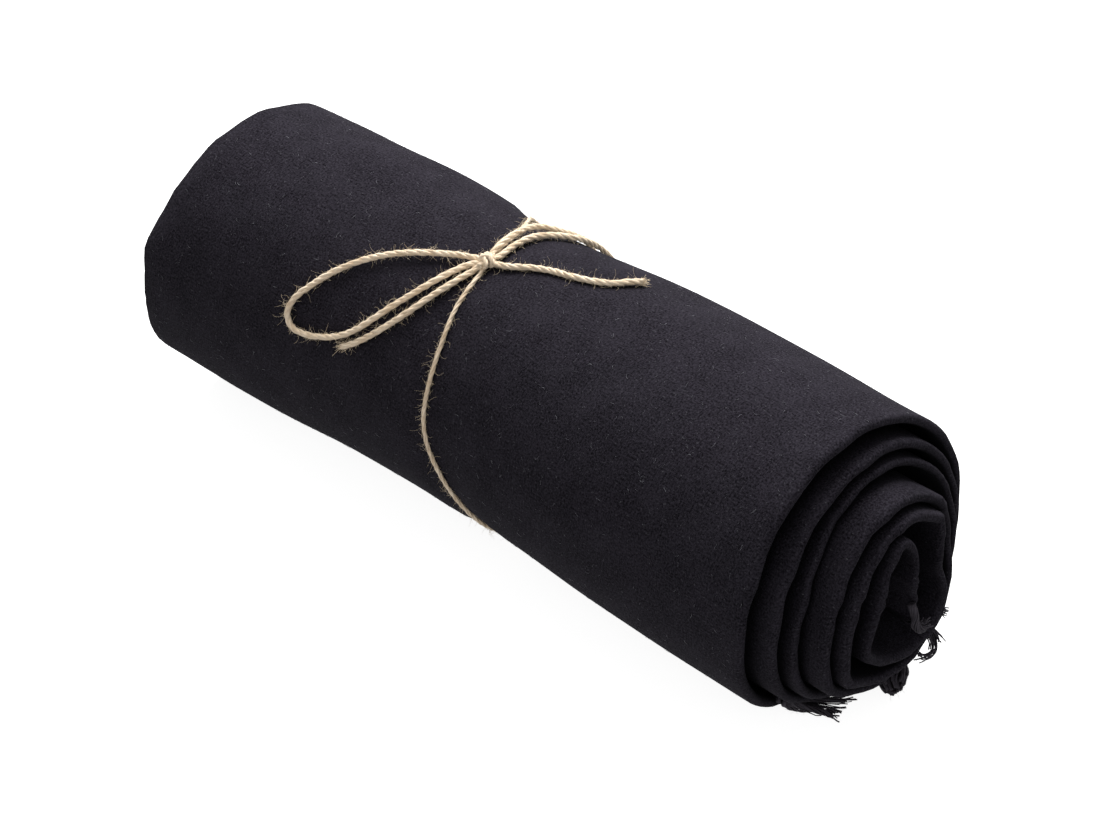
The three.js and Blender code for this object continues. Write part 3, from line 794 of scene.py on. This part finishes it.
def band_path(turn):
    """Middle of the cloth across the band at one place of its winding: x and depth under the outer face."""
    thick = float(band_thickness(turn))
    near = float(near_reach(turn)) + 0.7 * float(ripple(turn / 9.0, 301)) - 0.2
    far = float(far_reach(turn))
    outer = [PLY / 2, thick - PLY / 2]
    spare = (thick - 4 * PLY) / 3
    inner = [outer[0] + PLY + spare, outer[1] - PLY - spare]
    middle = thick / 2
    outer_half = (outer[1] - outer[0]) / 2
    inner_half = (inner[1] - inner[0]) / 2
    outer_centre = near - PLY / 2 - outer_half
    inner_centre = near - PLY - outer_half * 0.45 - inner_half - INNER_LIP_GAP
    free_one = far + 1.6 + 1.8 * float(ripple(turn / 16.0, 311))
    free_two = far + 1.2 + 1.2 * float(ripple(turn / 11.0, 312))
    fold = far + 0.2 + 0.8 * float(ripple(turn / 12.0, 313))
    path = [(x, outer[0]) for x in np.linspace(free_one, outer_centre, FINE_STATIONS)]
    for angle in np.linspace(-90, 90, OUTER_LIP_STEPS + 1)[1:-1]:
        path.append((outer_centre + outer_half * math.cos(math.radians(angle)),
                     middle + outer_half * math.sin(math.radians(angle))))
    path += [(x, outer[1]) for x in np.linspace(outer_centre, fold + inner_half, COARSE_STATIONS)]
    fold_middle = (outer[1] + inner[1]) / 2
    fold_half = (outer[1] - inner[1]) / 2
    for angle in np.linspace(90, 270, FAR_FOLD_STEPS + 1)[1:-1]:
        path.append((fold + inner_half + fold_half * math.cos(math.radians(angle)),
                     fold_middle + fold_half * math.sin(math.radians(angle))))
    path += [(x, inner[1]) for x in np.linspace(fold + inner_half, inner_centre, COARSE_STATIONS)]
    for angle in np.linspace(90, -90, INNER_LIP_STEPS + 1)[1:-1]:
        path.append((inner_centre + inner_half * math.cos(math.radians(angle)),
                     middle + inner_half * math.sin(math.radians(angle))))
    path += [(x, inner[0]) for x in np.linspace(inner_centre, free_two, COARSE_STATIONS)]
    return np.array(path)


def rumple(x, around, turn):
    """Small rises and dips of the wound cloth, with pleats that run out from the tie."""
    past = x - tie_x(around)
    soft = 0.22 * wander(x / 13, around / 9 + turn / 31, 401)
    broad = 0.28 * wander(x / 30, around / 17 + turn / 57, 402)
    pleat = np.sin(np.radians(around * 13) + 1.6 * wander(x / 40, around / 25, 403))
    pleat = pleat * 0.34 * np.exp(-np.abs(past) / 26) * (1 - bell(past, 3.5))
    far_rim = smooth((-150 - x) / 36) * 1.3 * ripple(around / 13, 404, 2)
    return soft + broad + pleat + far_rim


def cloth_parts():
    turns = band_turns()
    rings, uvs = [], []
    wound = 0.0
    last_middle = None
    for turn in turns:
        path = band_path(turn)
        tangent = np.gradient(path, axis=0)
        tangent /= np.linalg.norm(tangent, axis=1)[:, None]
        normal = np.stack([tangent[:, 1], -tangent[:, 0]], -1)
        outside = path + normal * PLY / 2
        inside = path - normal * PLY / 2
        section = np.concatenate([outside, inside[::-1]])
        around = UNDER - turn
        radius = float(band_radius(turn))
        x, depth = section[:, 0], section[:, 1]
        rise = rumple(x, around, turn) * (1.0 if turn > 0 else 0.5)
        ring = roll_point(x, around, radius - depth + rise, np.maximum(depth, 0) * FLOOR_STACK)
        middle = roll_point(0.0, around, radius)
        if last_middle is not None:
            wound += float(np.linalg.norm(middle - last_middle))
        last_middle = middle
        steps = np.concatenate([[0.0], np.cumsum(np.linalg.norm(np.diff(path, axis=0), axis=1))])
        across = np.concatenate([steps, steps[::-1]])
        rings.append(ring)
        uvs.append(np.stack([across, np.full(len(across), wound)], -1))
    size = len(rings[0])
    index = np.arange(len(rings) * size).reshape(len(rings), size)
    here, ahead = index[:-1], index[1:]
    faces = np.stack([here, np.roll(here, -1, 1), np.roll(ahead, -1, 1), ahead], -1).reshape(-1, 4)
    faces = faces.tolist()
    half = size // 2
    for ring, turned in ((index[0], True), (index[-1], False)):
        for i in range(half - 1):
            face = [ring[i], ring[i + 1], ring[size - 2 - i], ring[size - 1 - i]]
            faces.append([int(corner) for corner in (face if turned else face[::-1])])
    return np.concatenate(rings), faces, np.concatenate(uvs), wound


CLOTH = woven_cloth()
vertices, faces, uv, wound_length = cloth_parts()
cloth = add_mesh("tablecloth", vertices, faces, CLOTH, uv)
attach(cloth, "root")
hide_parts("cloth_roll")

# Fringe

THREAD = loose_thread()


def lock_threads(row, seed):
    """Yarns of a lock, twisted loosely together and parted at the tip."""
    rng = np.random.default_rng(seed)
    middle = centripetal_curve(row["line"], 0.8)
    t = np.linspace(0, 1, len(middle))
    across, up = frames_along(middle)
    parts = []
    for yarn in range(row["yarns"]):
        angle = 2 * math.pi * yarn / row["yarns"] + 5.5 * t + rng.uniform(-0.4, 0.4)
        loose = 1 + 0.9 * smooth((t - 0.72) / 0.28)
        spread = row["thick"] / 2 * loose * math.sqrt(rng.uniform(0.15, 0.8))
        line = middle + (spread * np.cos(angle))[:, None] * across + (spread * np.sin(angle))[:, None] * up
        line = line + (t ** 3)[:, None] * rng.normal(size=3) * 0.7
        line = line[:max(int(len(line) * rng.uniform(0.84, 1.0)), 4)]
        radius = 0.5 * row["thick"] / math.sqrt(row["yarns"]) * rng.uniform(0.8, 1.2)
        line[:, 2] = np.maximum(line[:, 2], radius)
        parts.append(tube(line, radius * np.linspace(1, 0.62, len(line)), 5))
        if yarn % 2 == 0:
            parts += wisps(line, rng)
    return parts


def wisps(line, rng, count=5):
    """Fine fibres that leave a yarn near its tip."""
    parts = []
    for _ in range(count):
        start = line[rng.integers(len(line) // 3, len(line))]
        heading = rng.normal(size=3)
        heading = heading / np.linalg.norm(heading)
        curl = np.cross(heading, rng.normal(size=3))
        t = np.linspace(0, 1, 6)[:, None]
        path = start + rng.uniform(1.0, 3.4) * (t * heading + 0.6 * t ** 2 * curl)
        path[:, 2] = np.maximum(path[:, 2], 0.08)
        parts.append(tube(path, np.linspace(0.045, 0.02, 6), 3))
    return parts


def curled_corner():
    """The cloth's corner, rolled up on itself."""
    row = CURLED_CORNER
    turn = np.linspace(0, 2 * math.pi * row["turns"], 40)
    reach = row["radius"] * (1 - 0.62 * turn / turn[-1])
    centre = np.array(row["centre"])
    curl = [reach * np.cos(turn) * 0.55, -reach * np.cos(turn) * 0.8, reach * np.sin(turn)]
    line = centre + np.stack(curl, -1)
    line[:, 0] += np.linspace(-3.0, 1.8, len(turn))
    line[:, 2] = np.maximum(line[:, 2], row["thick"] / 2)
    parts = [tube(line, row["thick"] / 2 * np.linspace(1.1, 0.8, len(turn)), 10)]
    return parts + wisps(line, np.random.default_rng(795), 30)


def tassel_parts():
    """Yarns gathered into a neck and bushy below it."""
    rng = np.random.default_rng(790)
    middle = centripetal_curve(TASSEL["line"], 0.7)
    t = np.linspace(0, 1, len(middle))
    across, up = frames_along(middle)
    neck = TASSEL["neck"]
    bulb = neck + (TASSEL["thick"] / 2 - neck) * np.sin(math.pi * np.clip((t - 0.34) / 0.72, 0, 1)) ** 0.75
    parts = []
    for _ in range(TASSEL["yarns"]):
        angle = rng.uniform(0, 2 * math.pi) + rng.uniform(-1.0, 3.2) * t
        depth = rng.uniform(0.35, 1.0) * bulb
        line = middle + (depth * np.cos(angle))[:, None] * across + (depth * np.sin(angle))[:, None] * up
        radius = rng.uniform(0.42, 0.72)
        line[:, 2] = np.maximum(line[:, 2], radius)
        line = line[:int(len(line) * rng.uniform(0.86, 1.0))]
        parts.append(tube(line, radius * np.linspace(0.7, 1.0, len(line)), 6))
        parts += wisps(line, rng, 3)
    return parts


def all_of(rows, seed):
    return [part for number, row in enumerate(rows) for part in lock_threads(row, seed + number)]


fringe_front = add_mesh("fringe_front_threads",
                        *with_material(joined(all_of(FRONT_LOCKS, 700) + curled_corner()), THREAD))
fringe_back = add_mesh("fringe_back_threads",
                       *with_material(joined(all_of(BACK_LOCKS + CORE_LOCKS, 760) + tassel_parts()), THREAD))

for piece, name in ((fringe_front, "fringe_front"), (fringe_back, "fringe_back")):
    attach(piece, "root")
    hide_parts(name)

# Lint on the outer turn


LINT_COUNT = 2600
LINT_RADIUS = 0.035


def lint_parts():
    """Short fibres that cling to the outer turn."""
    rng = np.random.default_rng(900)
    parts = []
    for _ in range(LINT_COUNT):
        turn = rng.uniform(0, 358)
        around = UNDER - turn
        x = rng.uniform(far_reach(turn) + 3, near_reach(turn) - 2)
        heading = rng.uniform(0, 2 * math.pi)
        reach = 0.6 + 3.2 * rng.uniform(0, 1) ** 2.2
        bend = rng.uniform(-1.4, 1.4)
        t = np.linspace(-0.5, 0.5, 5)
        turned = heading + bend * t
        along = x + np.cumsum(np.cos(turned)) * reach / 5
        aside = around + np.degrees(np.cumsum(np.sin(turned)) * reach / 5 / RIM_RADIUS)
        lift = 0.12 + rng.uniform(0.0, 0.5) * (0.25 - t ** 2)
        radius = band_radius(UNDER - aside) + rumple(along, aside, UNDER - aside) + lift
        line = roll_point(along, aside, radius)
        parts.append(tube(line, LINT_RADIUS * rng.uniform(0.7, 1.5), 3))
    return parts


LINT = plain_fibre("lint_fibre", (0.07, 0.07, 0.08), (0.26, 0.26, 0.29))
lint = add_mesh("lint", *with_material(joined(lint_parts()), LINT))
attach(lint, "root")

# Floor and light


# Sizes in metres and lights in watts. The floor is seen but casts no light on the cloth.
FLOOR_HALF = 6.0
WORLD_STRENGTH = 0.52
LIGHTS = [
    {"name": "high_light", "place": (-0.7, 1.1, 1.8), "target": (0, 0, 0.05), "size": 1.6, "power": 122},
    {"name": "front_light", "place": (0.9, -1.4, 1.1), "target": (0.05, 0, 0.05), "size": 1.4, "power": 7},
]


def add_floor():
    material, tree, shader = new_material("pale_floor")
    shader.inputs["Base Color"].default_value = (0.32, 0.32, 0.32, 1)
    shader.inputs["Emission Color"].default_value = (1, 1, 1, 1)
    shader.inputs["Emission Strength"].default_value = 0.9
    shader.inputs["Roughness"].default_value = 0.9
    mesh = bpy.data.meshes.new("floor")
    half = FLOOR_HALF
    corners = [(-half, -half, 0), (half, -half, 0), (half, half, 0), (-half, half, 0)]
    mesh.from_pydata(corners, [], [(0, 1, 2, 3)])
    mesh.materials.append(material)
    floor = bpy.data.objects.new("floor", mesh)
    bpy.context.scene.collection.objects.link(floor)
    floor.visible_diffuse = False


def add_area(name, place, target, size, power):
    data = bpy.data.lights.new(name, "AREA")
    data.shape = "DISK"
    data.size = size
    data.energy = power
    light = bpy.data.objects.new(name, data)
    light.location = place
    light.rotation_euler = (Vector(place) - Vector(target)).to_track_quat("Z", "Y").to_euler()
    bpy.context.scene.collection.objects.link(light)


def add_light():
    world = bpy.data.worlds.new("studio")
    world.use_nodes = True
    background = next(node for node in world.node_tree.nodes if node.type == "BACKGROUND")
    background.inputs["Color"].default_value = (1, 1, 1, 1)
    background.inputs["Strength"].default_value = WORLD_STRENGTH
    bpy.context.scene.world = world
    bpy.context.scene.view_settings.view_transform = "Standard"
    for row in LIGHTS:
        add_area(**row)


add_floor()
add_light()
